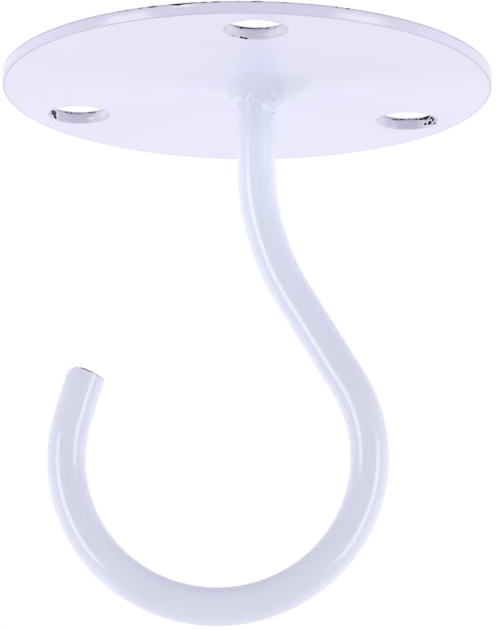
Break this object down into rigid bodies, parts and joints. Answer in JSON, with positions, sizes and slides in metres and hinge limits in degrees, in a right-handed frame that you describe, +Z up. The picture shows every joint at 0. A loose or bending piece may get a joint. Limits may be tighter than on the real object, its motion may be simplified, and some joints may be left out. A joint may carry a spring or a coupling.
{
  "type": "ceiling hook",
  "caption": "White coated steel ceiling hook: a round screw-down plate with a welded round bar bent into an open hanging loop.",
  "frame": {"origin": "centre of the plate's upper face, where it lies against the ceiling", "axes": "+Z up into the ceiling, hook hanging towards -Z with its bends in the XZ plane, the loop's mouth open towards -X"},
  "size_m": [0.066, 0.066, 0.0752],
  "materials": {
    "plate_coat": "semi-gloss white powder coat with a cool, slightly violet cast",
    "rod_coat": "semi-gloss white powder coat with a cool, slightly violet cast",
    "bead_coat": "semi-gloss white powder coat over an uneven weld"
  },
  "bodies": {
    "root": {"mounting_plate": "plate_coat", "hook_rod": "rod_coat", "weld_bead": "bead_coat"}
  },
  "joints": []
}
